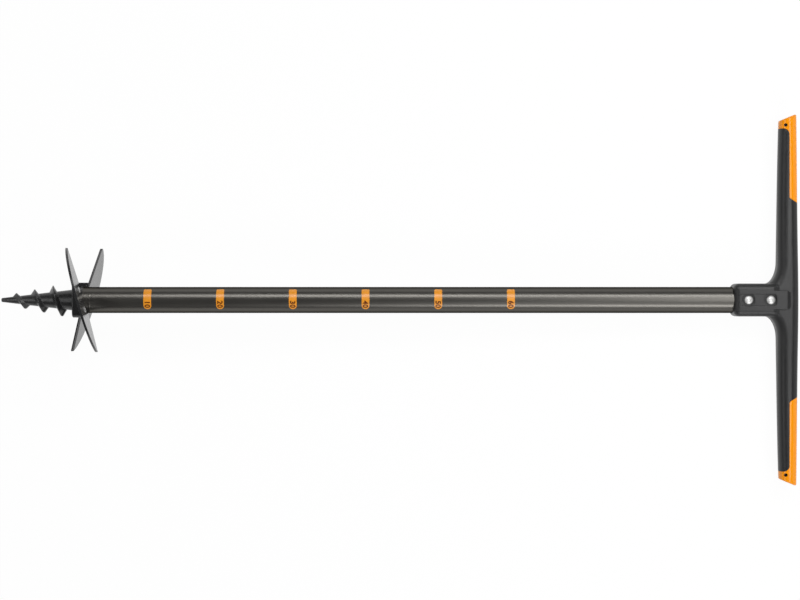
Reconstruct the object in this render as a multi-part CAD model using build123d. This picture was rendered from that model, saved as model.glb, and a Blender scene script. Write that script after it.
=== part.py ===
"""Hand earth auger: a steel shaft with a screw point, two pitched blades and a T handle.

Millimetres. The origin is the tip of the screw point, +X runs up the shaft to the handle,
+Y runs along the handle bar and +Z leaves the front, the side that carries the depth marks.
"""
import math
import os

from build123d import *

# Screw point
POINT_LENGTH = 104.0
POINT_TIP_DIAMETER = 5.4
POINT_TOP_DIAMETER = 30.2
POINT_TIP_ROUNDING = 1.6
SHANK_DIAMETER = 18.0
SHANK_LENGTH = 26.0
SHANK_FIT = 0.05

# Thread round the screw point
THREAD_PITCH = 25.5
THREAD_START = 12.0
THREAD_TOP_MARGIN = 11.0
THREAD_UP_AT = 20.4
THREAD_TIP_DIAMETER = 10.8
THREAD_TOP_DIAMETER = 53.0
THREAD_FOOT = 11.0
THREAD_CREST_FLAT = 1.2
THREAD_SINK = 0.8
THREAD_SIDE_DROP = 0.45
THREAD_RUNOUT_TURNS = 0.35
THREAD_RUNOUT_HEIGHT = 0.3
THREAD_RUNOUT_WIDTH = 0.6
THREAD_STEPS_PER_TURN = 16

# Hub casting under the blades
HUB_WIDTH = 48.0
HUB_REACH = 80.0
HUB_CORNER = 8.0
HUB_FOOT_ROUNDING = 1.5
SPIGOT_LENGTH = 36.0
SPIGOT_FIT = 0.05
SPIGOT_LEAD = 2.0

# Blades
BLADE_DIAMETER = 150.0
BLADE_THICKNESS = 3.2
BLADE_RAISE = 9.5
BLADE_PITCH = 16.0
BLADE_CONE = 2.7
BLADE_SWEEP = 15.5
BLADE_CORNER = 3.0
BLADE_BEVEL = 4.5
BLADE_EDGE = 1.6
BLADE_BOSS_GAP = 0.6

# Blade screws
BLADE_SCREW_DIAMETER = 5.0
BLADE_SCREW_SPREAD = 27.0
BLADE_SCREW_RADIUS = 32.0
BLADE_SCREW_BITE = 6.0
BLADE_SCREW_FIT = 0.05
BLADE_HOLE_GAP = 0.3
BLADE_HEAD_DIAMETER = 8.5
BLADE_HEAD_HEIGHT = 1.6
BLADE_KEY_WIDTH = 3.4
BLADE_KEY_DEPTH = 0.9

# Shaft
TUBE_DIAMETER = 36.0
TUBE_WALL = 1.5
SHAFT_REACH = 906.0
TUBE_INSERT = 71.0
TUBE_END_GAP = 0.3
WELD_WIDTH = 5.0
WELD_HEIGHT = 0.8
WELD_BLADE_GAP = 0.6
PLUG_LENGTH = 62.0
PLUG_FIT = 0.05

# Depth marks
MARK_STEP = 100.0
MARK_LABELS = (10, 20, 30, 40, 50, 60)
MARK_WIDTH = 10.7
MARK_SPAN = 27.2
MARK_SHIFT = 1.0
MARK_FILM = 0.2
MARK_TOP_CORNER = 1.5
MARK_FOOT_CORNER = 5.0

# Handle socket
SOCKET_WIDTH = 45.4
SOCKET_CORNER = 8.6
SOCKET_MOUTH_ROUNDING = 8.0
SOCKET_FIT = 0.05
SOCKET_LENGTH = 62.3
TONGUE_OVERLAP = 15.7
TONGUE_SLOPE_LENGTH = 5.0
TONGUE_WIDTH = 26.0
TONGUE_CORNER = 6.0
SHOULDER_SLOPE_LENGTH = 9.0

# Handle bar
BAR_SPAN = 514.5
BAR_WIDTH = 28.2
BAR_OUTER_BOW = 1.5
BAR_INNER_RISE = 2.8
BAR_ROOT_DEPTH = 40.0
BAR_ROOT_REACH = 75.0
BAR_DEPTH = 33.0
BAR_END_DEPTH = 27.0
BAR_INNER_ROUNDING = 13.0
BAR_FACET_WIDTH = 9.0
BAR_FACET_DROP = 6.0
BAR_FACET_ROUNDING = 8.0
BAR_END_SET_BACK = 10.0
BAR_END_ROUNDING = 2.0
BLEND_AXIAL = 16.2
BLEND_LATERAL = 29.6

# Orange end caps
CAP_LENGTH = 20.7
CAP_STRIP_LENGTH = 116.9
CAP_STRIP_WIDTH = 12.9
CAP_STRIP_SLANT = 7.0
CAP_STRIP_CORNER = 3.0
CAP_SEAM_ROUNDING = 8.4
CAP_SEAM = 0.2
CAP_TENON_LENGTH = 22.0
CAP_TENON_WIDTH = 5.0
CAP_TENON_DEPTH = 13.0
CAP_TENON_FIT = 0.1
HANG_HOLE_DIAMETER = 4.5
HANG_HOLE_WALL = 2.3
HANG_HOLE_FROM_INNER = 7.6

# Button heads, as on every screw here
HEAD_RIM_SHARE = 0.3

# Handle screws and their channel
HANDLE_SCREW_STATIONS = (20.0, 50.5)
HANDLE_SCREW_DIAMETER = 6.0
HANDLE_SCREW_BITE = 16.0
HANDLE_SCREW_FIT = 0.05
HANDLE_HEAD_DIAMETER = 11.5
HANDLE_HEAD_HEIGHT = 3.4
HANDLE_KEY_WIDTH = 4.5
HANDLE_KEY_DEPTH = 2.0
CHANNEL_WIDTH = 15.8
CHANNEL_DEPTH = 0.8
CHANNEL_START = 7.0
CHANNEL_END = 58.0
CHANNEL_CORNER = 3.0
COUNTERBORE_DIAMETER = 16.6
COUNTERBORE_DEPTH = 1.6

# Places along the shaft
HUB_FACE = POINT_LENGTH
SOCKET_MOUTH = HUB_FACE + SHAFT_REACH
TUBE_TOP = SOCKET_MOUTH + TUBE_INSERT
BAR_INNER = SOCKET_MOUTH + SOCKET_LENGTH
BAR_OUTER = BAR_INNER + BAR_WIDTH
TONGUE_END = BAR_INNER + TONGUE_OVERLAP

# Radii that several pieces share
TUBE_RADIUS = TUBE_DIAMETER / 2
TUBE_BORE_RADIUS = TUBE_RADIUS - TUBE_WALL
BLADE_INNER_RADIUS = TUBE_RADIUS + BLADE_BOSS_GAP
SOCKET_FRONT = SOCKET_WIDTH / 2

# The front blade's middle plane leans down towards +Y and rises towards its rim
PITCH_SLOPE = math.tan(math.radians(BLADE_PITCH))
CONE_SLOPE = math.tan(math.radians(BLADE_CONE))
BLADE_LEAN = math.hypot(PITCH_SLOPE, CONE_SLOPE)
BLADE_PLANE = Plane(
    origin=(HUB_FACE + BLADE_RAISE, 0, 0),
    x_dir=(-PITCH_SLOPE, 1, 0),
    z_dir=(1, PITCH_SLOPE, -CONE_SLOPE),
)
BOSS_TOP = (
    HUB_FACE
    + BLADE_RAISE
    + BLADE_INNER_RADIUS * BLADE_LEAN
    + BLADE_THICKNESS / 2 * math.hypot(1, BLADE_LEAN)
    + WELD_BLADE_GAP
    + WELD_WIDTH / 2
)

# Stock for cuts, larger than what they leave
STOCK = 2 * BLADE_DIAMETER
HUB_STOCK = BLADE_RAISE + HUB_REACH * BLADE_LEAN


def half_turn(shape):
    """The same piece on the other side of the shaft."""
    return shape.rotate(Axis.X, 180)


def shaft_cylinder(diameter, start, length):
    """A round bar on the shaft's axis."""
    return extrude(Plane.YZ.offset(start) * Circle(diameter / 2), length)


def root_radius(x):
    """Radius of the screw point's cone at a distance from its tip."""
    share = x / POINT_LENGTH
    return (POINT_TIP_DIAMETER * (1 - share) + POINT_TOP_DIAMETER * share) / 2


def crest_radius(x):
    """Radius of the full thread's crest at a distance from the tip."""
    share = x / POINT_LENGTH
    return (THREAD_TIP_DIAMETER * (1 - share) + THREAD_TOP_DIAMETER * share) / 2


def thread_section(x, growth):
    """A slice of the thread in the plane of the shaft's axis, lower away from the casting's parting line."""
    angle = math.tau * (x - THREAD_UP_AT) / THREAD_PITCH
    width = THREAD_RUNOUT_WIDTH + (1 - THREAD_RUNOUT_WIDTH) * growth
    foot = THREAD_FOOT * width / 2
    crest = THREAD_CREST_FLAT * width / 2
    height = (crest_radius(x) - root_radius(x)) * growth * (1 - THREAD_SIDE_DROP * abs(math.sin(angle)))
    corners = (
        (x - foot, root_radius(x - foot) - THREAD_SINK),
        (x + foot, root_radius(x + foot) - THREAD_SINK),
        (x + crest, root_radius(x) + height),
        (x - crest, root_radius(x) + height),
    )
    points = [(u, r * math.cos(angle), r * math.sin(angle)) for u, r in corners]
    return Wire.make_polygon(points)


def thread():
    """A right-hand thread that grows out of the cone and runs out again below the hub."""
    end = POINT_LENGTH - THREAD_TOP_MARGIN
    runout = THREAD_RUNOUT_TURNS * THREAD_PITCH
    step = THREAD_PITCH / THREAD_STEPS_PER_TURN
    first = math.ceil((THREAD_START - THREAD_UP_AT) / step)
    last = math.floor((end - THREAD_UP_AT) / step)
    sections = []
    for count in range(first, last + 1):
        x = THREAD_UP_AT + count * step
        ramp = min(1.0, (x - THREAD_START) / runout, (end - x) / runout)
        growth = THREAD_RUNOUT_HEIGHT + (1 - THREAD_RUNOUT_HEIGHT) * ramp
        sections.append(thread_section(x, growth))
    return Solid.make_loft(sections)


def screw_point():
    """The threaded cone, with the shank that fills the hub's bore."""
    shank = SHANK_DIAMETER / 2
    profile = make_face(
        Polyline(
            (0, 0),
            (0, POINT_TIP_DIAMETER / 2),
            (POINT_LENGTH, POINT_TOP_DIAMETER / 2),
            (POINT_LENGTH, shank),
            (POINT_LENGTH + SHANK_LENGTH, shank),
            (POINT_LENGTH + SHANK_LENGTH, 0),
            close=True,
        )
    )
    cone = revolve(profile, Axis.X)
    tip = cone.edges().sort_by(Axis.X)[0]
    cone = fillet(tip, POINT_TIP_ROUNDING)
    return cone + thread()


def blade_screw_planes():
    """The two places on the front blade where screws enter, leading one first."""
    half = BLADE_SCREW_SPREAD / 2
    planes = []
    for y in (half, -half):
        x = HUB_FACE + BLADE_RAISE - PITCH_SLOPE * y + CONE_SLOPE * BLADE_SCREW_RADIUS
        planes.append(Plane(origin=(x, y, BLADE_SCREW_RADIUS), z_dir=BLADE_PLANE.z_dir))
    return planes


def blade_hub():
    """Casting with two sloped seats, a boss as thick as the tube and a spigot inside it."""
    foot = Plane.YZ.offset(HUB_FACE) * RectangleRounded(HUB_WIDTH, HUB_REACH, HUB_CORNER)
    block = extrude(foot, HUB_STOCK)
    block = fillet(block.faces().sort_by(Axis.X)[0].edges(), HUB_FOOT_ROUNDING)
    above_seat = BLADE_PLANE * Pos(0, 0, STOCK / 2 - BLADE_THICKNESS / 2) * Box(STOCK, STOCK, STOCK)
    front_side = Pos(HUB_FACE, 0, STOCK / 2) * Box(STOCK, STOCK, STOCK)
    cutter = above_seat & front_side
    screw_bore = BLADE_SCREW_DIAMETER / 2 + BLADE_SCREW_FIT
    screw_depth = BLADE_SCREW_BITE + BLADE_THICKNESS
    block = block - cutter - half_turn(cutter)
    for plane in blade_screw_planes():
        hole = plane * Cylinder(screw_bore, 2 * screw_depth)
        block = block - hole - half_turn(hole)
    boss_height = BOSS_TOP - HUB_FACE
    spigot = shaft_cylinder(2 * (TUBE_BORE_RADIUS - SPIGOT_FIT), HUB_FACE, boss_height + SPIGOT_LENGTH)
    spigot = chamfer(spigot.edges().sort_by(Axis.X)[-1], SPIGOT_LEAD)
    boss = shaft_cylinder(TUBE_DIAMETER, HUB_FACE, boss_height)
    bore = shaft_cylinder(SHANK_DIAMETER + 2 * SHANK_FIT, HUB_FACE, SHANK_LENGTH + SHANK_FIT)
    return block + boss + spigot - bore


def bevel_cutter():
    """The stock ground off the leading edge's upper side."""
    sweep = math.radians(BLADE_SWEEP)
    climb = CONE_SLOPE * math.sin(sweep) - PITCH_SLOPE * math.cos(sweep)
    edge = Vector(climb, math.cos(sweep), math.sin(sweep)).normalized()
    across = BLADE_PLANE.z_dir.cross(edge)
    half = BLADE_THICKNESS / 2
    drop = BLADE_THICKNESS - BLADE_EDGE
    grind = Polyline(
        (-BLADE_BEVEL, half - 2 * drop),
        (2 * BLADE_BEVEL, half + drop),
        (-BLADE_BEVEL, half + drop),
        close=True,
    )
    return extrude(Plane(BLADE_PLANE.origin, across, edge) * make_face(grind), BLADE_DIAMETER)


def front_blade():
    """A pitched sector with a ground leading edge and two screw holes."""
    half_angle = 90 - BLADE_SWEEP
    reach = BLADE_DIAMETER
    side = reach * math.tan(math.radians(half_angle))
    wedge = make_face(Polyline((0, 0), (side, reach), (-side, reach), close=True))
    sector = (Circle(BLADE_DIAMETER / 2) - Circle(BLADE_INNER_RADIUS)) & wedge
    outer = sector.vertices().sort_by(lambda v: math.hypot(v.X, v.Y))[-2:]
    sector = fillet(outer, BLADE_CORNER)
    column = extrude(Plane.YZ.offset(HUB_FACE - BLADE_DIAMETER) * sector, 2 * BLADE_DIAMETER)
    plate = column & (BLADE_PLANE * Box(STOCK, STOCK, BLADE_THICKNESS))
    plate = plate - bevel_cutter()
    hole = BLADE_SCREW_DIAMETER / 2 + BLADE_HOLE_GAP
    for plane in blade_screw_planes():
        plate = plate - plane * Cylinder(hole, 4 * BLADE_THICKNESS)
    return plate


def button_screw(diameter, shank_length, head_diameter, head_height, key_width, key_depth):
    """A button-head screw along +Z, its head seated on the plane of the origin."""
    rim = head_height * HEAD_RIM_SHARE
    dome = head_height - rim
    dome_radius = ((head_diameter / 2) ** 2 + dome**2) / (2 * dome)
    head = extrude(Circle(head_diameter / 2), head_height)
    head = head & Pos(0, 0, head_height - dome_radius) * Sphere(dome_radius)
    screw = head + extrude(Circle(diameter / 2), -shank_length)
    key = Pos(0, 0, head_height - key_depth) * extrude(RegularPolygon(key_width / 2, 6), head_height)
    return screw - key


def blade_screws():
    """The front blade's two screws, leading one first."""
    screw = button_screw(
        BLADE_SCREW_DIAMETER,
        BLADE_SCREW_BITE + BLADE_THICKNESS,
        BLADE_HEAD_DIAMETER,
        BLADE_HEAD_HEIGHT,
        BLADE_KEY_WIDTH,
        BLADE_KEY_DEPTH,
    )
    return [plane * Pos(0, 0, BLADE_THICKNESS / 2) * screw for plane in blade_screw_planes()]


def handle_screw_planes():
    """Where the handle's screws sit, on the floors of their counterbores."""
    seat = SOCKET_FRONT - CHANNEL_DEPTH - COUNTERBORE_DEPTH
    return [Plane(origin=(SOCKET_MOUTH + x, 0, seat), z_dir=(0, 0, 1)) for x in HANDLE_SCREW_STATIONS]


def handle_screw_reach():
    """Length of a handle screw's shank below its head."""
    seat = SOCKET_FRONT - CHANNEL_DEPTH - COUNTERBORE_DEPTH
    return seat - TUBE_BORE_RADIUS + HANDLE_SCREW_BITE


def handle_screws():
    """The two button-head screws that hold the handle to the shaft."""
    screw = button_screw(
        HANDLE_SCREW_DIAMETER,
        handle_screw_reach(),
        HANDLE_HEAD_DIAMETER,
        HANDLE_HEAD_HEIGHT,
        HANDLE_KEY_WIDTH,
        HANDLE_KEY_DEPTH,
    )
    return [plane * screw for plane in handle_screw_planes()]


def handle_screw_holes():
    """Bores for the handle's screws, through the socket and the tube into the plug."""
    radius = HANDLE_SCREW_DIAMETER / 2 + HANDLE_SCREW_FIT
    depth = handle_screw_reach() + HANDLE_SCREW_FIT
    return [plane * Pos(0, 0, -depth / 2) * Cylinder(radius, depth) for plane in handle_screw_planes()]


def shaft_tube():
    """The steel tube, from the hub's boss up into the handle."""
    length = TUBE_TOP - BOSS_TOP
    tube = shaft_cylinder(TUBE_DIAMETER, BOSS_TOP, length)
    tube = tube - shaft_cylinder(2 * TUBE_BORE_RADIUS, BOSS_TOP, length)
    for hole in handle_screw_holes():
        tube = tube - hole
    return tube


def weld_bead():
    """The ring of weld over the seam between the boss and the tube."""
    profile = make_face(
        [
            ThreePointArc(
                (BOSS_TOP - WELD_WIDTH / 2, TUBE_RADIUS),
                (BOSS_TOP, TUBE_RADIUS + WELD_HEIGHT),
                (BOSS_TOP + WELD_WIDTH / 2, TUBE_RADIUS),
            ),
            Line((BOSS_TOP + WELD_WIDTH / 2, TUBE_RADIUS), (BOSS_TOP - WELD_WIDTH / 2, TUBE_RADIUS)),
        ]
    )
    return revolve(profile, Axis.X)


def shaft_plug():
    """The plug in the tube's top end, bored for the handle's screws."""
    plug = shaft_cylinder(2 * (TUBE_BORE_RADIUS - PLUG_FIT), TUBE_TOP - PLUG_LENGTH, PLUG_LENGTH)
    for hole in handle_screw_holes():
        plug = plug - hole
    return plug


def depth_band(label):
    """A thin curved mark on the shaft's front, square above and rounded below."""
    middle = HUB_FACE + label * MARK_STEP / MARK_LABELS[0]
    outline = Pos(middle, MARK_SHIFT) * Rectangle(MARK_WIDTH, MARK_SPAN)
    corners = outline.vertices().sort_by(Axis.Y)
    outline = fillet(corners[:2], MARK_FOOT_CORNER)
    outline = fillet(outline.vertices().sort_by(Axis.Y)[-2:], MARK_TOP_CORNER)
    start = middle - MARK_WIDTH
    film = shaft_cylinder(TUBE_DIAMETER + 2 * MARK_FILM, start, 2 * MARK_WIDTH)
    film = film - shaft_cylinder(TUBE_DIAMETER, start, 2 * MARK_WIDTH)
    return film & extrude(outline, TUBE_DIAMETER)


def socket_ramp(end, length):
    """The wedges that bring the socket's front and back down to the arms."""
    slope = make_face(
        Polyline(
            (end - length, SOCKET_WIDTH),
            (end - length, SOCKET_FRONT),
            (end, BAR_ROOT_DEPTH / 2),
            (end, SOCKET_WIDTH),
            close=True,
        )
    )
    wedge = extrude(Plane.XZ * slope, SOCKET_WIDTH, both=True)
    return wedge + mirror(wedge, Plane.XY)


def socket():
    """The square socket with its rounded mouth, sloped shoulders and the tongue that laps over the bar."""
    section = Plane.YZ.offset(SOCKET_MOUTH) * RectangleRounded(SOCKET_WIDTH, SOCKET_WIDTH, SOCKET_CORNER)
    body = extrude(section, TONGUE_END - SOCKET_MOUTH)
    body = fillet(body.faces().sort_by(Axis.X)[0].edges(), SOCKET_MOUTH_ROUNDING)
    shoulders = Pos(SOCKET_MOUTH + SOCKET_LENGTH / 2, 0) * Rectangle(SOCKET_LENGTH, SOCKET_WIDTH)
    tongue = Pos(BAR_INNER, 0) * RectangleRounded(2 * TONGUE_OVERLAP, TONGUE_WIDTH, TONGUE_CORNER)
    body = body & extrude(shoulders + tongue, SOCKET_WIDTH, both=True)
    beside = Box(2 * TONGUE_END, TONGUE_WIDTH, 2 * SOCKET_WIDTH)
    body = body - (socket_ramp(BAR_INNER, SHOULDER_SLOPE_LENGTH) - beside)
    return body - socket_ramp(TONGUE_END, TONGUE_SLOPE_LENGTH)


def bar_outline():
    """The handle seen from the front: bowed bar, slanted ends and swept arms."""
    half = BAR_SPAN / 2
    side = SOCKET_WIDTH / 2
    arm_start = side + BLEND_LATERAL
    blend_centre = (BAR_INNER - BLEND_AXIAL, arm_start)
    outer_end = (BAR_OUTER - BAR_OUTER_BOW, half)
    inner_end = (BAR_INNER + BAR_INNER_RISE, half - BAR_END_SET_BACK)
    upper = [
        ThreePointArc((BAR_OUTER, 0), (BAR_OUTER - BAR_OUTER_BOW / 4, half / 2), outer_end),
        Line(outer_end, inner_end),
        TangentArc((BAR_INNER, arm_start), inner_end, tangent=(0, 1)),
        EllipticalCenterArc(blend_centre, BLEND_AXIAL, BLEND_LATERAL, 270, arc_size=90),
        Line((BAR_INNER - BLEND_AXIAL, side), (BAR_INNER - BLEND_AXIAL, 0)),
        Line((BAR_INNER - BLEND_AXIAL, 0), (BAR_OUTER, 0)),
    ]
    return make_face(upper)


def long_edges(half, outer):
    """The edges that run along half an arm on its front, at its outer or inner side."""
    middle = BAR_OUTER - BAR_WIDTH / 2
    end = BAR_SPAN / 2 - BAR_END_SET_BACK
    picked = []
    for edge in half.edges():
        place = edge.center()
        along = edge.length > BLEND_LATERAL and SOCKET_WIDTH / 2 < place.Y < end
        if along and place.Z > BAR_END_DEPTH / 4 and outer == (place.X > middle):
            picked.append(edge)
    return picked


def bar_arm():
    """One arm of the handle with its rounded underside and facetted outer side."""
    reach = BAR_SPAN / 2 + BAR_END_SET_BACK
    root = (0, BAR_ROOT_DEPTH / 2)
    grip = (BAR_ROOT_REACH, BAR_DEPTH / 2)
    end = (reach, BAR_END_DEPTH / 2)
    tangents = [(1, 0), (end[0] - grip[0], end[1] - grip[1])]
    plan = make_face([Spline(root, grip, end, tangents=tangents), Polyline(end, (reach, 0), (0, 0), root)])
    half = extrude(bar_outline(), BAR_DEPTH)
    half = half & extrude(Plane.YZ.offset(SOCKET_MOUTH) * plan, 2 * BAR_OUTER - 2 * SOCKET_MOUTH)
    half = fillet(long_edges(half, outer=False), BAR_INNER_ROUNDING)
    corner = long_edges(half, outer=True)[0]
    beside = [face for face in half.faces() if any(corner.is_same(edge) for edge in face.edges())]
    flat = max(beside, key=lambda face: face.center().Z)
    half = chamfer(corner, BAR_FACET_WIDTH, BAR_FACET_DROP, reference=flat)
    half = fillet(long_edges(half, outer=True), BAR_FACET_ROUNDING)
    arm = half + mirror(half, Plane.XY)
    return fillet(arm.faces().sort_by(Axis.Y)[-1].edges(), BAR_END_ROUNDING)


def cap_column(seam):
    """The space that an end cap takes out of an arm, grown by a seam."""
    half = BAR_SPAN / 2
    strip = BAR_OUTER - CAP_STRIP_WIDTH - seam
    shoulder = half - CAP_LENGTH - seam
    start = half - CAP_STRIP_LENGTH - seam
    lean = CAP_STRIP_SLANT * (BAR_WIDTH + CAP_STRIP_WIDTH) / CAP_STRIP_WIDTH
    outline = make_face(
        Polyline(
            (BAR_INNER - BAR_WIDTH, shoulder),
            (strip, shoulder),
            (strip, start),
            (BAR_OUTER + BAR_WIDTH, start - lean),
            (BAR_OUTER + BAR_WIDTH, half + BAR_WIDTH),
            (BAR_INNER - BAR_WIDTH, half + BAR_WIDTH),
            close=True,
        )
    )
    inner = outline.vertices().sort_by_distance((strip, shoulder))[0]
    outline = fillet(inner, CAP_SEAM_ROUNDING)
    corner = outline.vertices().sort_by_distance((strip, start))[0]
    outline = fillet(corner, CAP_STRIP_CORNER)
    return extrude(Plane.XY.offset(-BAR_DEPTH) * outline, 2 * BAR_DEPTH)


def cap_tenon(fit):
    """The flat tenon that holds a cap in the arm, grown by a fit."""
    shoulder = BAR_SPAN / 2 - CAP_LENGTH
    inner = BAR_INNER + BAR_INNER_RISE
    middle = (inner + BAR_OUTER - CAP_STRIP_WIDTH) / 2
    root = HANG_HOLE_WALL
    length = CAP_TENON_LENGTH + root + fit
    block = Box(CAP_TENON_WIDTH + 2 * fit, length, CAP_TENON_DEPTH + 2 * fit)
    return Pos(middle, shoulder + root - length / 2, 0) * block


def end_cap(arm):
    """The orange end of an arm, with its outer strip, tenon and hang hole."""
    shoulder = BAR_SPAN / 2 - CAP_LENGTH
    hole = HANG_HOLE_DIAMETER / 2
    x = BAR_INNER + BAR_INNER_RISE + HANG_HOLE_FROM_INNER
    y = shoulder + HANG_HOLE_WALL + hole
    cap = (arm & cap_column(0)) + cap_tenon(0)
    return cap - Pos(x, y, 0) * Cylinder(hole, 2 * BAR_DEPTH)


def screw_channel():
    """The shallow channel in the socket's front with a counterbore for each screw."""
    floor = SOCKET_FRONT - CHANNEL_DEPTH
    length = CHANNEL_END - CHANNEL_START
    place = Pos(SOCKET_MOUTH + (CHANNEL_START + CHANNEL_END) / 2, 0, floor)
    channel = place * extrude(RectangleRounded(length, CHANNEL_WIDTH, CHANNEL_CORNER), 2 * CHANNEL_DEPTH)
    for plane in handle_screw_planes():
        channel = channel + extrude(plane * Circle(COUNTERBORE_DIAMETER / 2), 2 * COUNTERBORE_DEPTH)
    return channel


def handle_body(arm):
    """The black T: socket, two arms cut back for the caps, bore and screw channel."""
    left = arm - cap_column(CAP_SEAM) - cap_tenon(CAP_TENON_FIT)
    body = socket() + left + mirror(left, Plane.XZ)
    body = body - shaft_cylinder(TUBE_DIAMETER + 2 * SOCKET_FIT, SOCKET_MOUTH, TUBE_INSERT + TUBE_END_GAP)
    body = body - screw_channel()
    for hole in handle_screw_holes():
        body = body - hole
    return body


def main():
    """Builds every piece and writes one file for each."""
    os.makedirs("parts", exist_ok=True)
    arm = bar_arm()
    left_cap = end_cap(arm)
    blade = front_blade()
    pieces = {
        "screw_point": screw_point(),
        "blade_hub": blade_hub(),
        "front_blade": blade,
        "rear_blade": half_turn(blade),
        "shaft_tube": shaft_tube(),
        "weld_bead": weld_bead(),
        "shaft_plug": shaft_plug(),
        "handle_body": handle_body(arm),
        "end_cap_left": left_cap,
        "end_cap_right": mirror(left_cap, Plane.XZ),
    }
    for place, screw in zip(("leading", "trailing"), blade_screws()):
        pieces[f"front_blade_screw_{place}"] = screw
        pieces[f"rear_blade_screw_{place}"] = half_turn(screw)
    for place, screw in zip(("lower", "upper"), handle_screws()):
        pieces[f"handle_screw_{place}"] = screw
    for label in MARK_LABELS:
        pieces[f"depth_band_{label}"] = depth_band(label)
    for name, piece in pieces.items():
        export_step(piece, f"parts/{name}.step")


if __name__ == "__main__":
    main()
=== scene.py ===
"""Looks for a hand earth auger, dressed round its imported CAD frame.

Metres, in the frame of the CAD part: the tip of the screw point is the origin, +X runs up the
shaft to the handle, +Y along the handle bar and +Z out of the front with the depth marks.
"""
import logging
import math
from dataclasses import dataclass
from enum import Enum, IntEnum
from typing import Any

import bmesh
import bpy
from mathutils import Matrix, Vector


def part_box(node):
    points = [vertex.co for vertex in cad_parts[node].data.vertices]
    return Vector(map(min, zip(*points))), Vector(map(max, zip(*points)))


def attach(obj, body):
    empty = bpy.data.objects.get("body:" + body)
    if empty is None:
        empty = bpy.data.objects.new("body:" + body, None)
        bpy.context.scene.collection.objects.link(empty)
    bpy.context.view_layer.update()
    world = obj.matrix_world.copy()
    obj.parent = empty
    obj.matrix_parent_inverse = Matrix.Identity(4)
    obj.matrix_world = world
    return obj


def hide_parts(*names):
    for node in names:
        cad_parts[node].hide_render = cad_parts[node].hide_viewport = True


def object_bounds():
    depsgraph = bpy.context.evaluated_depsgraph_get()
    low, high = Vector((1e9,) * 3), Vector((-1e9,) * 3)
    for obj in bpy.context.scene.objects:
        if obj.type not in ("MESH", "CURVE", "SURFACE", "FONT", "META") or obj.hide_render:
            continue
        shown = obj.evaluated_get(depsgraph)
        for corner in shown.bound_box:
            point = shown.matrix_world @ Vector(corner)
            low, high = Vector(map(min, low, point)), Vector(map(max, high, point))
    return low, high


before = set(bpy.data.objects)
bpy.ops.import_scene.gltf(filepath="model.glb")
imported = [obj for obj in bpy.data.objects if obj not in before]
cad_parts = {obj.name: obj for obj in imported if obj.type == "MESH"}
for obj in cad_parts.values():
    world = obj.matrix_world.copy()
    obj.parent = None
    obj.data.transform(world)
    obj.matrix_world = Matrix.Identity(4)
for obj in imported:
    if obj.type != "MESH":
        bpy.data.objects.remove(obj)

LOG = logging.getLogger("earth_auger")
CAD_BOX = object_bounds()
BODY = "root"
MM = 0.001
SHARP = math.radians(40)
BEVEL_SAMPLES = 4

Colour = tuple[float, float, float]
Point = tuple[float, float, float]
Pair = tuple[float, float]

WHITE: Colour = (1.0, 1.0, 1.0)
EVEN: Point = (1.0, 1.0, 1.0)


class Slot(Enum):
    """Two of the record's material slots; nothing in this script uses them."""

    CASTING = "cast_paint"
    INK = "handle_black"


class Axis(Enum):
    """The axes of the part."""

    X = "X"
    Y = "Y"
    Z = "Z"


class MixSocket(IntEnum):
    """The sockets of a Mix node for colours, which share their names with others."""

    SHARE = 0
    RESULT = 2
    FIRST = 6
    SECOND = 7


@dataclass(frozen=True)
class Blots:
    """A soft noise: the size of its blots in metres, its finer layers and its stretch on each axis."""

    size: float
    layers: float = 2.0
    stretch: Point = EVEN


@dataclass(frozen=True)
class Ramp:
    """A smooth step: the value where it starts and the value where it ends."""

    low: float
    high: float


@dataclass(frozen=True)
class Relief:
    """A bump: its depth in metres, how much of it shows and the rounding of the edges under it."""

    depth: float
    strength: float
    rounding: float | None = None


class Shade:
    """A shader socket that takes part in Python sums."""

    def __init__(self, graph: "Graph", socket: bpy.types.NodeSocket) -> None:
        """Wraps an output socket of a graph, which new nodes are added to."""
        self.graph = graph
        self.socket = socket

    def __add__(self, other: "Shade | float") -> "Shade":
        """This plus another value."""
        return self.graph.math("ADD", self, other)

    def __radd__(self, other: float) -> "Shade":
        """A number plus this."""
        return self.graph.math("ADD", other, self)

    def __sub__(self, other: "Shade | float") -> "Shade":
        """This less another value."""
        return self.graph.math("SUBTRACT", self, other)

    def __rsub__(self, other: float) -> "Shade":
        """A number less this."""
        return self.graph.math("SUBTRACT", other, self)

    def __mul__(self, other: "Shade | float") -> "Shade":
        """This times another value."""
        return self.graph.math("MULTIPLY", self, other)

    def __rmul__(self, other: float) -> "Shade":
        """A number times this."""
        return self.graph.math("MULTIPLY", other, self)

    def __abs__(self) -> "Shade":
        """This without its sign."""
        return self.graph.math("ABSOLUTE", self, 0.0)


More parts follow.
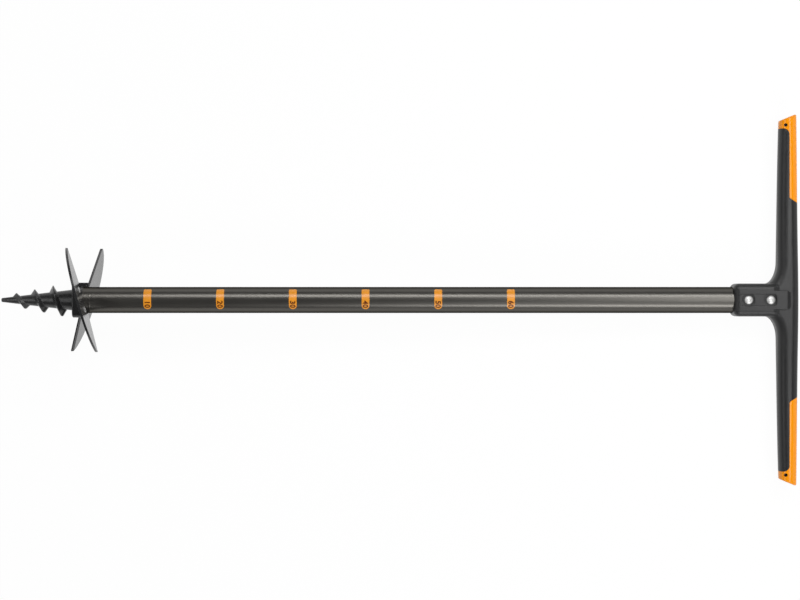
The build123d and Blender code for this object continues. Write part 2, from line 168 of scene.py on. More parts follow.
class Graph:
    """One node tree, with the nodes that the finishes are written in."""

    def __init__(self, tree: bpy.types.NodeTree) -> None:
        """Empties the node tree of a material or of the world and takes it over."""
        tree.nodes.clear()
        self.tree = tree

    def node(
        self,
        kind: str,
        settings: dict[str, Any] | None = None,
        inputs: dict[str | int, Any] | None = None,
        output: str | int = 0,
    ) -> Shade:
        """Adds a node.

        Args:
            kind: The node's type.
            settings: Its properties, which are set first.
            inputs: The values or links of its sockets, by name or by number.
            output: The socket that the result is read from.

        Returns:
            The chosen output.
        """
        made = self.tree.nodes.new(kind)
        for name, value in (settings or {}).items():
            setattr(made, name, value)
        for name, value in (inputs or {}).items():
            if isinstance(value, Shade):
                self.tree.links.new(value.socket, made.inputs[name])
            else:
                made.inputs[name].default_value = value
        return Shade(self, made.outputs[output])

    def end(self, kind: str, surface: Shade) -> None:
        """Joins a shader to a new output node of a material or a world."""
        made = self.tree.nodes.new(kind)
        self.tree.links.new(surface.socket, made.inputs["Surface"])

    def principled(self, sockets: dict[str, Any]) -> Shade:
        """The shader that the auger's finishes are made of, with its sockets by name."""
        return self.node("ShaderNodeBsdfPrincipled", inputs=sockets)

    def math(self, operation: str, first: Shade | float, second: Shade | float) -> Shade:
        """The Math node behind an operator between two values."""
        return self.node("ShaderNodeMath", {"operation": operation}, {0: first, 1: second})

    def mix(self, share: Shade, first: Shade | Colour, second: Shade | Colour) -> Shade:
        """Blends two colours.

        Args:
            share: How much of the second colour there is.
            first: The colour at a share of 0.
            second: The colour at a share of 1.

        Returns:
            The blended colour.
        """
        first = first if isinstance(first, Shade) else (*first, 1.0)
        second = second if isinstance(second, Shade) else (*second, 1.0)
        inputs = {MixSocket.SHARE: share, MixSocket.FIRST: first, MixSocket.SECOND: second}
        return self.node("ShaderNodeMix", {"data_type": "RGBA"}, inputs, MixSocket.RESULT)

    def place(self, stretch: Point = EVEN) -> Shade:
        """Where a point of the surface is, in metres, stretched for a pattern that runs along an axis."""
        spot = self.node("ShaderNodeTexCoord", output="Object")
        return self.node("ShaderNodeVectorMath", {"operation": "MULTIPLY"}, {0: spot, 1: stretch})

    def along(self, axis: Axis) -> Shade:
        """One coordinate of a point of the surface, in metres."""
        return self.node("ShaderNodeSeparateXYZ", inputs={0: self.place()}, output=axis.value)

    def noise(self, blots: Blots) -> Shade:
        """Soft noise from 0 to 1.

        Args:
            blots: Its size, layers and stretch.

        Returns:
            The noise.
        """
        inputs = {
            "Vector": self.place(blots.stretch),
            "Scale": 1.0 / blots.size,
            "Detail": blots.layers,
        }
        return self.node("ShaderNodeTexNoise", inputs=inputs)

    def step(self, value: Shade, ramp: Ramp) -> Shade:
        """A smooth step from 0 to 1 as a value goes over a ramp."""
        inputs = {"Value": value, "From Min": ramp.low, "From Max": ramp.high}
        return self.node("ShaderNodeMapRange", {"interpolation_type": "SMOOTHSTEP"}, inputs)

    def rounded(self, radius: float) -> Shade:
        """The normal of the surface with its edges rounded to a radius in metres."""
        return self.node("ShaderNodeBevel", {"samples": BEVEL_SAMPLES}, {"Radius": radius})

    def edges(self, radius: float) -> Shade:
        """A mask of the outer and inner edges of a piece.

        Args:
            radius: How far from an edge the mask reaches, in metres.

        Returns:
            The mask, about 0.3 on a square edge and 0 on a flat.
        """
        normal = self.node("ShaderNodeNewGeometry", output="Normal")
        turn = self.node(
            "ShaderNodeVectorMath",
            {"operation": "DOT_PRODUCT"},
            {0: self.rounded(radius), 1: normal},
            "Value",
        )
        return 1.0 - turn

    def bump(self, height: Shade, relief: Relief) -> Shade:
        """A relief on the surface.

        Args:
            height: The form of the relief, from 0 to 1.
            relief: Its depth, its strength and the rounding under it.

        Returns:
            The normal of the relief.
        """
        inputs = {"Height": height, "Distance": relief.depth, "Strength": relief.strength}
        if relief.rounding is not None:
            inputs["Normal"] = self.rounded(relief.rounding)
        return self.node("ShaderNodeBump", inputs=inputs)


@dataclass(frozen=True)
class Finish:
    """A finish that is made once and shared by the pieces that wear it."""

    name: str

    def material(self) -> bpy.types.Material:
        """Makes the material, or finds the one made before.

        Returns:
            The material.
        """
        known = bpy.data.materials.get(self.name)
        if known is not None:
            return known
        made = bpy.data.materials.new(self.name)
        made.use_nodes = True
        graph = Graph(made.node_tree)
        graph.end("ShaderNodeOutputMaterial", self.surface(graph))
        return made

    def surface(self, graph: Graph) -> Shade:
        """The shader of this finish, written by each kind of finish."""
        raise NotImplementedError

    def wear_on(self, *nodes: str) -> None:
        """Puts the finish on CAD nodes.

        Args:
            nodes: The names of the nodes.
        """
        for node in nodes:
            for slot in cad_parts[node].material_slots:
                slot.material = self.material()
            LOG.info("%s wears %s", node, self.name)


@dataclass(frozen=True)
class CastPaint(Finish):
    """Satin black paint on a casting, lighter on its edges: partly worn paint, partly a painted
    highlight.
    """

    name: str = "satin_cast_paint"
    dark: Colour = (0.010, 0.010, 0.0105)
    light: Colour = (0.020, 0.020, 0.021)
    # Edge colour: partly worn paint, partly a painted highlight along crests and edges.
    rubbed: Colour = (0.20, 0.20, 0.205)
    roughness: float = 0.20
    cloud_roughness: float = 0.16
    rub_polish: float = 0.10
    grain: Blots = Blots(0.9 * MM, 3.0)
    cloud: Blots = Blots(14 * MM)
    rub_reach: float = 0.9 * MM
    rub_share: float = 0.5
    rub: Ramp = Ramp(0.05, 0.22)
    relief: Relief = Relief(0.12 * MM, 0.35, 0.6 * MM)

    def surface(self, graph: Graph) -> Shade:
        """Cast grain, cloudy paint and lighter edges: partly worn paint, partly a painted highlight.

        Args:
            graph: The graph of the material.

        Returns:
            The shader.
        """
        cloud = graph.noise(self.cloud)
        # The edge mask lightens the colour: partly worn paint, partly a painted highlight along the
        # crests.
        rub = graph.step(graph.edges(self.rub_reach) * (self.rub_share + cloud), self.rub)
        sockets = {
            "Base Color": graph.mix(rub, graph.mix(cloud, self.dark, self.light), self.rubbed),
            "Roughness": self.roughness + self.cloud_roughness * cloud - self.rub_polish * rub,
            "Normal": graph.bump(graph.noise(self.grain), self.relief),
        }
        return graph.principled(sockets)


@dataclass(frozen=True)
class BladeCoat(Finish):
    """A gloss black coat on sheet steel, finely scuffed, with lighter edges: partly worn-down paint,
    partly a painted highlight on the rims.
    """

    name: str = "gloss_blade_coat"
    dark: Colour = (0.012, 0.012, 0.013)
    light: Colour = (0.022, 0.022, 0.023)
    # Edge colour: partly paint worn down, partly a painted highlight on the rims.
    thin: Colour = (0.030, 0.030, 0.031)
    roughness: float = 0.16
    cloud_roughness: float = 0.06
    scuff_roughness: float = 0.10
    ior: float = 1.5
    cloud: Blots = Blots(20 * MM)
    scuffs: Blots = Blots(0.5 * MM, 1.0, (0.3, 0.04, 1.0))
    scuff: Ramp = Ramp(0.62, 0.76)
    thin_reach: float = 0.5 * MM
    thin_share: float = 0.4
    thinning: Ramp = Ramp(0.07, 0.25)
    waves: Blots = Blots(2.5 * MM)
    relief: Relief = Relief(0.03 * MM, 0.20, 0.3 * MM)

    def surface(self, graph: Graph) -> Shade:
        """Cloudy gloss, fine scuffs and lighter edges: partly worn-down paint, partly a painted
        highlight.

        Args:
            graph: The graph of the material.

        Returns:
            The shader.
        """
        cloud = graph.noise(self.cloud)
        scuff = graph.step(graph.noise(self.scuffs), self.scuff)
        # The edge mask lightens the colour: partly worn-down paint, partly a painted highlight on the
        # rims.
        thin = graph.step(graph.edges(self.thin_reach) * (self.thin_share + cloud), self.thinning)
        sockets = {
            "Base Color": graph.mix(thin, graph.mix(cloud, self.dark, self.light), self.thin),
            "Roughness": self.roughness + self.cloud_roughness * cloud + self.scuff_roughness * scuff,
            "Normal": graph.bump(graph.noise(self.waves), self.relief),
            "IOR": self.ior,
        }
        return graph.principled(sockets)


@dataclass(frozen=True)
class ShaftPaint(Finish):
    """Graphite metallic paint on drawn tube, with fine flake and faint lines along it."""

    name: str = "graphite_shaft_paint"
    dark: Colour = (0.095, 0.091, 0.084)
    light: Colour = (0.128, 0.122, 0.112)
    edge_tint: Colour = (0.0, 0.0, 0.0)
    roughness: float = 0.27
    cloud_roughness: float = 0.05
    line_roughness: float = 0.05
    flakes: Blots = Blots(0.22 * MM, 1.0)
    flake: Ramp = Ramp(0.25, 0.75)
    lines: Blots = Blots(0.6 * MM, 2.0, (0.012, 1.0, 1.0))
    line_share: float = 0.6
    cloud: Blots = Blots(60 * MM)
    relief: Relief = Relief(0.004 * MM, 0.25)

    def surface(self, graph: Graph) -> Shade:
        """Flake, draw lines and a slow change of gloss.

        Args:
            graph: The graph of the material.

        Returns:
            The shader.
        """
        flakes = graph.noise(self.flakes)
        lines = graph.noise(self.lines)
        cloud = graph.noise(self.cloud)
        sockets = {
            "Base Color": graph.mix(graph.step(flakes, self.flake), self.dark, self.light),
            "Roughness": self.roughness + self.cloud_roughness * cloud + self.line_roughness * lines,
            "Metallic": 1.0,
            "Specular Tint": (*self.edge_tint, 1.0),
            "Normal": graph.bump(flakes + self.line_share * lines, self.relief),
        }
        return graph.principled(sockets)


@dataclass(frozen=True)
class HubPaint(CastPaint):
    """Cast paint, with the shaft's own paint run down over the round boss."""

    name: str = "satin_hub_paint"
    boss_radius: float = 18 * MM
    boss_start: float = 113 * MM
    fade: float = 2 * MM

    def surface(self, graph: Graph) -> Shade:
        """Shaft paint on the boss and cast paint on the rest.

        Args:
            graph: The graph of the material.

        Returns:
            The shader.
        """
        y = graph.along(Axis.Y)
        z = graph.along(Axis.Z)
        rim = Ramp((self.boss_radius + self.fade) ** 2, self.boss_radius**2)
        foot = Ramp(self.boss_start, self.boss_start + self.fade)
        boss = graph.step(y * y + z * z, rim) * graph.step(graph.along(Axis.X), foot)
        layers = {0: boss, 1: super().surface(graph), 2: ShaftPaint().surface(graph)}
        return graph.node("ShaderNodeMixShader", inputs=layers)


@dataclass(frozen=True)
class MouldedPlastic(Finish):
    """Moulded plastic with a fine grain, a little smoother where hands hold it."""

    name: str = "moulded_black"
    dark: Colour = (0.006, 0.006, 0.0063)
    light: Colour = (0.009, 0.009, 0.0094)
    roughness: float = 0.37
    cloud_roughness: float = 0.08
    grip_polish: float = 0.06
    soil_roughness: float = 0.5
    specular: float = 0.5
    grain: Blots = Blots(0.5 * MM)
    cloud: Blots = Blots(25 * MM)
    relief: Relief = Relief(0.08 * MM, 1.0, 2.0 * MM)
    grip: Ramp = Ramp(50 * MM, 120 * MM)
    # Painted shade: a dark red-brown colour that darkens the inside of the hang holes.
    soil: Colour = (0.060, 0.012, 0.002)
    hole: Pair = (1082.7 * MM, 241.1 * MM)
    hole_wall: float = 2.28 * MM
    hole_rim: float = 2.45 * MM

    def surface(self, graph: Graph) -> Shade:
        """Grain, cloudy colour, the worn grip and painted shade, dark red-brown, inside the hang holes.

        Args:
            graph: The graph of the material.

        Returns:
            The shader.
        """
        cloud = graph.noise(self.cloud)
        reach = abs(graph.along(Axis.Y))
        grip = graph.step(reach, self.grip)
        # Painted shade inside the hang holes, dark red-brown and rougher.
        soiled = self.soiled(graph, reach)
        polish = self.cloud_roughness * cloud - self.grip_polish * grip
        sockets = {
            "Base Color": graph.mix(soiled, graph.mix(cloud, self.dark, self.light), self.soil),
            "Roughness": self.roughness + polish + self.soil_roughness * soiled,
            "Normal": graph.bump(graph.noise(self.grain), self.relief),
            "Specular IOR Level": self.specular,
        }
        return graph.principled(sockets)

    def soiled(self, graph: Graph, reach: Shade) -> Shade:
        """A mask of the hang holes, where shade is painted.

        Args:
            graph: The graph of the material.
            reach: How far a point is from the shaft's axis along the handle, in metres.

        Returns:
            The mask, 1 inside the holes.
        """
        along = graph.along(Axis.X) - self.hole[0]
        across = reach - self.hole[1]
        return graph.step(along * along + across * across, Ramp(self.hole_rim**2, self.hole_wall**2))


@dataclass(frozen=True)
class ZincPlate(Finish):
    """Zinc plate with faint turning marks."""

    name: str = "bright_zinc"
    dark: Colour = (0.66, 0.66, 0.65)
    light: Colour = (0.80, 0.80, 0.79)
    roughness: float = 0.46
    cloud_roughness: float = 0.10
    cloud: Blots = Blots(4 * MM)
    marks: Blots = Blots(0.25 * MM, 2.0, (1.0, 0.3, 1.0))
    relief: Relief = Relief(0.01 * MM, 0.25, 0.25 * MM)

    def surface(self, graph: Graph) -> Shade:
        """Cloudy plate with fine marks.

        Args:
            graph: The graph of the material.

        Returns:
            The shader.
        """
        cloud = graph.noise(self.cloud)
        sockets = {
            "Base Color": graph.mix(cloud, self.dark, self.light),
            "Metallic": 1.0,
            "Roughness": self.roughness + self.cloud_roughness * cloud,
            "Normal": graph.bump(graph.noise(self.marks), self.relief),
        }
        return graph.principled(sockets)


@dataclass(frozen=True)
class PrintedFilm(Finish):
    """Printed film, a little faded and scuffed."""

    name: str = "printed_orange"
    full: Colour = (0.77, 0.275, 0.0)
    faded: Colour = (0.70, 0.262, 0.001)
    roughness: float = 0.28
    cloud_roughness: float = 0.10
    scuff_roughness: float = 0.12
    specular: float = 0.85
    cloud: Blots = Blots(5 * MM, 3.0)
    fading: Ramp = Ramp(0.35, 0.75)
    scuffs: Blots = Blots(0.5 * MM, 2.0, (0.2, 1.0, 1.0))
    scuff: Ramp = Ramp(0.60, 0.72)
    relief: Relief = Relief(0.01 * MM, 0.2)

    def surface(self, graph: Graph) -> Shade:
        """Faded print with scuffed gloss.

        Args:
            graph: The graph of the material.

        Returns:
            The shader.
        """
        cloud = graph.noise(self.cloud)
        scuff = graph.step(graph.noise(self.scuffs), self.scuff)
        sockets = {
            "Base Color": graph.mix(graph.step(cloud, self.fading), self.full, self.faded),
            "Roughness": self.roughness + self.cloud_roughness * cloud + self.scuff_roughness * scuff,
            "Normal": graph.bump(cloud, self.relief),
            "Specular IOR Level": self.specular,
        }
        return graph.principled(sockets)


@dataclass(frozen=True)
class TurnedAlloy(Finish):
    """Turned aluminium, with fine rings across the bar."""

    name: str = "turned_alloy"
    dark: Colour = (0.50, 0.50, 0.51)
    light: Colour = (0.64, 0.64, 0.65)
    roughness: float = 0.30
    ring_roughness: float = 0.08
    rings: Blots = Blots(0.4 * MM, 2.0, (1.0, 0.01, 0.01))
    relief: Relief = Relief(0.01 * MM, 0.3)

    def surface(self, graph: Graph) -> Shade:
        """Fine rings along the bar's axis.

        Args:
            graph: The graph of the material.

        Returns:
            The shader.
        """
        rings = graph.noise(self.rings)
        sockets = {
            "Base Color": graph.mix(rings, self.dark, self.light),
            "Metallic": 1.0,
            "Roughness": self.roughness + self.ring_roughness * rings,
            "Normal": graph.bump(rings, self.relief),
        }
        return graph.principled(sockets)


# Painted light: a lighter copy of the cast paint for the screw point, standing in for light falling on
# it.
POINT_PAINT_PAINTED_LIGHT = CastPaint(
    name="satin_point_paint_painted_light",
    dark=(0.014, 0.014, 0.0145),
    light=(0.026, 0.026, 0.027),
)
HUB_PAINT = HubPaint()
BLADE_COAT = BladeCoat()
SHAFT_PAINT = ShaftPaint()
HANDLE_BLACK = MouldedPlastic()
CAP_ORANGE = MouldedPlastic(
    name="moulded_orange",
    dark=(0.80, 0.262, 0.0),
    light=(0.88, 0.292, 0.0),
    roughness=0.20,
    specular=0.42,
    relief=Relief(0.004 * MM, 1.0, 0.5 * MM),
)
BRIGHT_ZINC = ZincPlate()
DULL_ZINC = ZincPlate(
    name="dull_zinc",
    dark=(0.38, 0.38, 0.375),
    light=(0.46, 0.46, 0.455),
)
PRINTED_ORANGE = PrintedFilm()
PRINT_INK = PrintedFilm(
    name="print_ink",
    full=(0.09, 0.015, 0.0),
    faded=(0.13, 0.024, 0.0),
    specular=0.3,
)
TURNED_ALLOY = TurnedAlloy()


def new_piece(name: str, mesh: bmesh.types.BMesh, finish: Finish) -> bpy.types.Object:
    """Makes an object of a mesh that rides on the auger.

    Args:
        name: The piece's name.
        mesh: Its mesh, in metres, which is used up.
        finish: The finish that it wears.

    Returns:
        The object.
    """
    bmesh.ops.recalc_face_normals(mesh, faces=mesh.faces)
    for face in mesh.faces:
        face.smooth = True
    data = bpy.data.meshes.new(name)
    mesh.to_mesh(data)
    mesh.free()
    data.set_sharp_from_angle(angle=SHARP)
    data.materials.append(finish.material())
    piece = bpy.data.objects.new(name, data)
    bpy.context.scene.collection.objects.link(piece)
    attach(piece, BODY)
    LOG.info("%s: %d faces", name, len(data.polygons))
    return piece


@dataclass
class DiggingEnd:
    """The screw point, the hub and the blades with their screws."""

    sides: tuple[str, ...] = ("front", "rear")
    screw_places: tuple[str, ...] = ("leading", "trailing")

    def dress(self) -> None:
        """Puts the finishes on the nodes of the digging end."""
        POINT_PAINT_PAINTED_LIGHT.wear_on("screw_point")
        HUB_PAINT.wear_on("blade_hub")
        for side in self.sides:
            BLADE_COAT.wear_on(f"{side}_blade")
            DULL_ZINC.wear_on(*(f"{side}_blade_screw_{place}" for place in self.screw_places))


@dataclass
class Shaft:
    """The tube, its hidden plug and the weld at its foot."""

    radius: float = 18 * MM
    ripples: int = 78
    steps_per_ripple: int = 4
    bead_steps: int = 8
    bead_sink: float = 0.25 * MM
    ripple_height: float = 0.03 * MM
    ground_share: float = 0.12
    ripple_lag: float = 0.9

    def dress(self) -> None:
        """Puts the finishes on the tube and plug, and builds the weld."""
        SHAFT_PAINT.wear_on("shaft_tube")
        TURNED_ALLOY.wear_on("shaft_plug")
        self.weld()

    def bead_reach(self, angle: float, across: float, height: float) -> float:
        """How far the weld's surface is from the shaft's axis.

        Args:
            angle: The angle round the shaft.
            across: The place across the bead, from -1 to 1.
            height: The height of the ground bead over the tube, in metres.

        Returns:
            The distance, in metres.
        """
        crown = 1 - across**2
        phase = self.ripples * angle - self.ripple_lag * across**2 * math.pi
        wave = self.ripple_height * crown * (math.cos(phase) - 1) / 2
        return self.radius - self.bead_sink + (height + self.bead_sink) * crown + wave

    def weld(self) -> bpy.types.Object:
        """A ring of weld, ground low over faint ripples, in the place of the plain bead.

        Returns:
            The weld.
        """
        low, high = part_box("weld_bead")
        middle = (low.x + high.x) / 2
        half_width = (high.x - low.x) / 2
        height = self.ground_share * (high.z - self.radius)
        mesh = bmesh.new()
        around = self.ripples * self.steps_per_ripple
        rings = []
        for turn in range(around):
            angle = math.tau * turn / around
            ring = []
            for step in range(self.bead_steps + 1):
                across = 2 * step / self.bead_steps - 1
                reach = self.bead_reach(angle, across, height)
                spot = (middle + half_width * across, reach * math.cos(angle), reach * math.sin(angle))
                ring.append(mesh.verts.new(spot))
            rings.append(ring)
        for turn in range(around):
            first, second = rings[turn], rings[(turn + 1) % around]
            for step in range(self.bead_steps):
                mesh.faces.new((first[step], first[step + 1], second[step + 1], second[step]))
            mesh.faces.new((first[-1], first[0], second[0], second[-1]))
        bead = new_piece("weld_ripples", mesh, SHAFT_PAINT)
        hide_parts("weld_bead")
        return bead


@dataclass
class DepthMarks:
    """The orange bands on the shaft and the numbers printed on them."""

    labels: tuple[int, ...] = (10, 20, 30, 40, 50, 60)
    radius: float = 18.2 * MM
    number_height: float = 7.0 * MM
    number_place: float = -6.0 * MM
    number_shift: float = -0.5 * MM
    cap_share: float = 0.70
    boldness: float = 0.32 * MM
    spacing: float = 1.08
    ink: float = 0.06 * MM
    sink: float = 0.03 * MM
    merge: float = 0.001 * MM
    slice_width: float = 0.8 * MM
    half_slices: int = 12

    def dress(self) -> None:
        """Puts the print on each band and a number on it."""
        for label in self.labels:
            PRINTED_ORANGE.wear_on(f"depth_band_{label}")
            self.number(label)

    def figures(self, label: int) -> bpy.types.Mesh:
        """A number in plain bold figures.

        Args:
            label: The number.

        Returns:
            A flat mesh of it, which reads along X.
        """
        curve = bpy.data.curves.new(f"number_{label}", "FONT")
        curve.body = str(label)
        curve.size = self.number_height / self.cap_share
        curve.offset = self.boldness
        curve.space_character = self.spacing
        curve.align_x = "CENTER"
        curve.align_y = "CENTER"
        text = bpy.data.objects.new(curve.name, curve)
        bpy.context.scene.collection.objects.link(text)
        bpy.context.view_layer.update()
        shown = text.evaluated_get(bpy.context.evaluated_depsgraph_get())
        data = bpy.data.meshes.new_from_object(shown)
        bpy.data.objects.remove(text)
        bpy.data.curves.remove(curve)
        return data

    def flat_number(self, label: int) -> bmesh.types.BMesh:
        """A number as a flat sheet of faces, in narrow slices so that it can be bent.

        Args:
            label: The number.

        Returns:
            The sheet, which reads along X.
        """
        data = self.figures(label)
        mesh = bmesh.new()
        mesh.from_mesh(data)
        bpy.data.meshes.remove(data)
        bmesh.ops.remove_doubles(mesh, verts=mesh.verts, dist=self.merge)
        for cut in range(-self.half_slices, self.half_slices + 1):
            parts = [*mesh.verts, *mesh.edges, *mesh.faces]
            spot = (cut * self.slice_width, 0, 0)
            bmesh.ops.bisect_plane(mesh, geom=parts, plane_co=spot, plane_no=(1, 0, 0))
        return mesh

    def raised(self, sheet: bmesh.types.BMesh) -> bmesh.types.BMesh:
        """Thin ink in the outline of a flat sheet, with a foot, a top and sides.

        Args:
            sheet: The flat sheet, which is used up.

        Returns:
            The ink, closed all round.
        """
        mesh = bmesh.new()
        sheet.verts.index_update()
        foot = [mesh.verts.new((vert.co.x, vert.co.y, -self.sink)) for vert in sheet.verts]
        top = [mesh.verts.new((vert.co.x, vert.co.y, self.ink)) for vert in sheet.verts]
        for face in sheet.faces:
            corners = [vert.index for vert in face.verts]
            mesh.faces.new([top[corner] for corner in corners])
            mesh.faces.new([foot[corner] for corner in reversed(corners)])
        for edge in (edge for edge in sheet.edges if edge.is_boundary):
            first, second = (vert.index for vert in edge.verts)
            mesh.faces.new((foot[first], foot[second], top[second], top[first]))
        sheet.free()
        return mesh

    def number(self, label: int) -> bpy.types.Object:
        """A number in a fine film of ink, bent round the shaft to read with the auger upright.

        Args:
            label: The number.

        Returns:
            The number.
        """
        low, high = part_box(f"depth_band_{label}")
        middle = (low.x + high.x) / 2 + self.number_shift
        mesh = self.raised(self.flat_number(label))
        start = math.asin(self.number_place / self.radius)
        for vert in mesh.verts:
            angle = start - vert.co.x / self.radius
            reach = self.radius + vert.co.z
            vert.co = (middle + vert.co.y, reach * math.sin(angle), reach * math.cos(angle))
        return new_piece(f"depth_number_{label}", mesh, PRINT_INK)


@dataclass
class Handle:
    """The black T, its orange ends and the screws that hold it."""

    ends: tuple[str, ...] = ("left", "right")
    screw_places: tuple[str, ...] = ("lower", "upper")

    def dress(self) -> None:
        """Puts the finishes on the nodes of the handle."""
        HANDLE_BLACK.wear_on("handle_body")
        CAP_ORANGE.wear_on(*(f"end_cap_{end}" for end in self.ends))
        BRIGHT_ZINC.wear_on(*(f"handle_screw_{place}" for place in self.screw_places))


@dataclass(frozen=True)
class StudioWhite(Finish):
    """The pale floor: white to the eye and in reflections, with the auger's shadow on it."""

    name: str = "studio_white"
    colour: Colour = (0.90, 0.90, 0.90)
    glow: float = 0.96
    rays: tuple[str, ...] = ("Is Camera Ray", "Is Glossy Ray", "Is Transmission Ray")
    any_ray: Ramp = Ramp(0.0, 1.0)

    def material(self) -> bpy.types.Material:
        """Makes the material, whose glow lights nothing and isn't sampled as a lamp.

        Returns:
            The material.
        """
        made = super().material()
        made.cycles.emission_sampling = "NONE"
        return made

    def surface(self, graph: Graph) -> Shade:
        """Lit white under an even glow that only the eye and reflections see.

        Args:
            graph: The graph of the material.

        Returns:
            The shader.
        """
        eye, gloss, through = (graph.node("ShaderNodeLightPath", output=ray) for ray in self.rays)
        share = self.glow * graph.step(eye + gloss + through, self.any_ray)
        lit = graph.node("ShaderNodeBsdfDiffuse", inputs={"Color": (*self.colour, 1.0)})
        even = graph.node("ShaderNodeEmission", inputs={"Color": (*WHITE, 1.0), "Strength": 1.0})
        return graph.node("ShaderNodeMixShader", inputs={0: share, 1: lit, 2: even})


@dataclass(frozen=True)
class Softbox:
    """One area lamp of the studio."""

    name: str
    place: Point
    aim: Point
    size: Pair
    power: float

    def hang(self) -> bpy.types.Object:
        """Makes the lamp, turned to its aim with its length along X.

        Returns:
            The lamp.
        """
        data = bpy.data.lights.new(self.name, "AREA")
        data.shape = "RECTANGLE"
        data.size, data.size_y = self.size
        data.energy = self.power
        lamp = bpy.data.objects.new(self.name, data)
        lamp.location = self.place
        back = (Vector(self.place) - Vector(self.aim)).normalized()
        side = Vector((0, 1, 0)).cross(back).normalized()
        up = back.cross(side)
        lamp.rotation_euler = Matrix((side, up, back)).transposed().to_euler()
        lamp.visible_camera = False
        bpy.context.scene.collection.objects.link(lamp)
        return lamp


def left_turn(first: Pair, second: Pair, third: Pair) -> float:
    """How much a path turns to the left at its second point.

    Args:
        first: The point before.
        second: The point where it turns.
        third: The point after.

    Returns:
        The turn, above 0 to the left.
    """
    ahead = (second[0] - first[0], second[1] - first[1])
    beyond = (third[0] - first[0], third[1] - first[1])
    return ahead[0] * beyond[1] - ahead[1] * beyond[0]


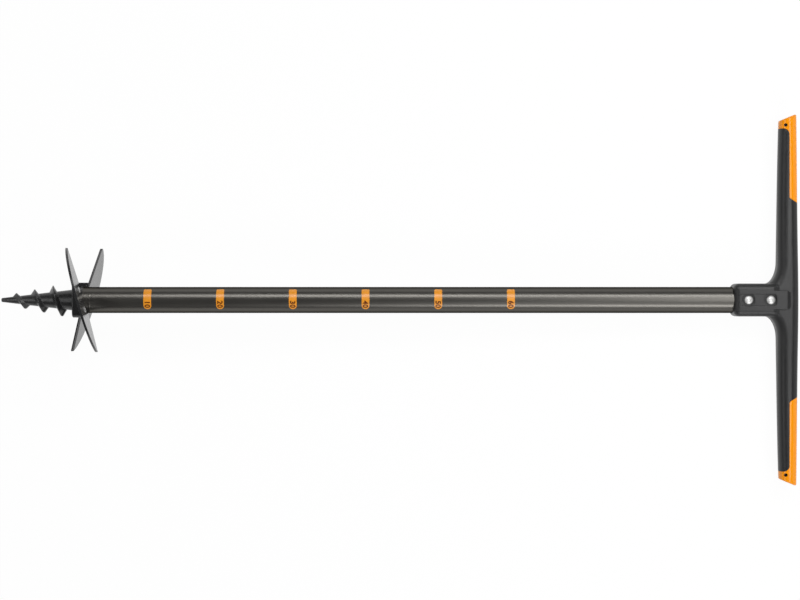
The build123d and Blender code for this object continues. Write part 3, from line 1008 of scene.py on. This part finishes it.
@dataclass
class Studio:
    """The floor that the auger lies on, the soft lamps, the world and the camera."""

    camera_place: Point = (0.5514, 0.0, 2.57)
    lens: float = 83.57
    sensor: float = 36.0
    floor_reach: float = 20.0
    wall_reach: float = 18.0
    wall_height: float = 4.0
    wall_sink: float = 1.0
    wall_sides: int = 64
    ramp_before: float = 0.25
    ramp_after: float = 0.05
    world_colour: Colour = (0.12, 0.12, 0.12)
    lamps: tuple[Softbox, ...] = (
        Softbox("key", (1.82, 0.28, 2.3), (0.85, 0.0, 0.0), (1.30, 1.85), 24.5),
        Softbox("fill", (1.5, -1.15, 2.0), (1.2, 0.0, 0.0), (1.8, 1.1), 6.0),
        Softbox("point", (-1.25, 0.0, 2.15), (0.04, 0.0, 0.0), (0.6, 1.8), 11.0),
        Softbox("strip_left", (1.1, 1.30, 1.65), (1.1, 0.0, 0.0), (2.6, 0.55), 26.0),
        Softbox("strip_right", (1.50, -2.05, 1.5), (1.1, 0.0, 0.0), (1.8, 0.60), 24.0),
    )

    def build(self) -> None:
        """Makes the floor, the wall, the lamps, the world and the camera."""
        self.floor()
        self.wall()
        for lamp in self.lamps:
            lamp.hang()
        self.world()
        self.camera()

    def resting_line(self) -> tuple[Pair, Pair]:
        """The two lowest places that the auger rests on, seen from its side.

        Returns:
            Along the shaft and up, the place near the point and the place near the handle.
        """
        meshes = [node.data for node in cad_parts.values()]
        spots = sorted({(vert.co.x, vert.co.z) for mesh in meshes for vert in mesh.vertices})
        hull: list[Pair] = []
        for spot in spots:
            while len(hull) > 1 and left_turn(hull[-2], hull[-1], spot) <= 0:
                hull.pop()
            hull.append(spot)
        middle = (CAD_BOX[0].x + CAD_BOX[1].x) / 2
        upper = next(index for index, spot in enumerate(hull) if spot[0] > middle)
        return hull[upper - 1], hull[upper]

    def floor(self) -> bpy.types.Object:
        """A wide pale floor with a slight slope under the auger, so that it rests at both ends.

        Returns:
            The floor.
        """
        (low_x, low_z), (high_x, high_z) = self.resting_line()
        slope = (high_z - low_z) / (high_x - low_x)
        foot = low_x - self.ramp_before
        head = high_x + self.ramp_after
        foot_z = low_z + slope * (foot - low_x)
        head_z = low_z + slope * (head - low_x)
        line = ((-self.floor_reach, foot_z), (foot, foot_z), (head, head_z), (self.floor_reach, head_z))
        sides = (-self.floor_reach, self.floor_reach)
        mesh = bmesh.new()
        rows = [[mesh.verts.new((x, y, z)) for y in sides] for x, z in line]
        for first, second in zip(rows, rows[1:]):
            mesh.faces.new((first[0], second[0], second[1], first[1]))
        return self.backdrop("floor", mesh)

    def wall(self) -> bpy.types.Object:
        """A low round wall far behind everything, so that low views end in the same pale white.

        Returns:
            The wall.
        """
        mesh = bmesh.new()
        rings = []
        for height in (CAD_BOX[0].z - self.wall_sink, self.wall_height):
            ring = []
            for side in range(self.wall_sides):
                angle = math.tau * side / self.wall_sides
                spot = (self.wall_reach * math.cos(angle), self.wall_reach * math.sin(angle), height)
                ring.append(mesh.verts.new(spot))
            rings.append(ring)
        lower, upper = rings
        for side in range(self.wall_sides):
            after = (side + 1) % self.wall_sides
            mesh.faces.new((lower[side], lower[after], upper[after], upper[side]))
        return self.backdrop("wall", mesh)

    def backdrop(self, name: str, mesh: bmesh.types.BMesh) -> bpy.types.Object:
        """Makes a pale piece of the studio that isn't part of the auger.

        Args:
            name: The piece's name.
            mesh: Its mesh, in metres, which is used up.

        Returns:
            The piece.
        """
        data = bpy.data.meshes.new(name)
        mesh.to_mesh(data)
        mesh.free()
        data.materials.append(StudioWhite().material())
        made = bpy.data.objects.new(name, data)
        bpy.context.scene.collection.objects.link(made)
        return made

    def world(self) -> None:
        """An even grey light from all round."""
        made = bpy.data.worlds.new("studio")
        made.use_nodes = True
        graph = Graph(made.node_tree)
        inputs = {"Color": (*self.world_colour, 1.0), "Strength": 1.0}
        graph.end("ShaderNodeOutputWorld", graph.node("ShaderNodeBackground", inputs=inputs))
        bpy.context.scene.world = made

    def camera(self) -> bpy.types.Object:
        """A camera that looks straight down on the auger's front.

        Returns:
            The camera.
        """
        data = bpy.data.cameras.new("camera")
        data.sensor_fit = "HORIZONTAL"
        data.sensor_width = self.sensor
        data.lens = self.lens
        made = bpy.data.objects.new("camera", data)
        made.location = self.camera_place
        bpy.context.scene.collection.objects.link(made)
        bpy.context.scene.camera = made
        bpy.context.scene.view_settings.view_transform = "Standard"
        return made


def main() -> None:
    """Dresses each part of the auger and sets up the studio."""
    logging.basicConfig(level=logging.INFO, format="%(name)s: %(message)s")
    for part in (DiggingEnd(), Shaft(), DepthMarks(), Handle()):
        part.dress()
    Studio().build()


if __name__ == "__main__":
    main()
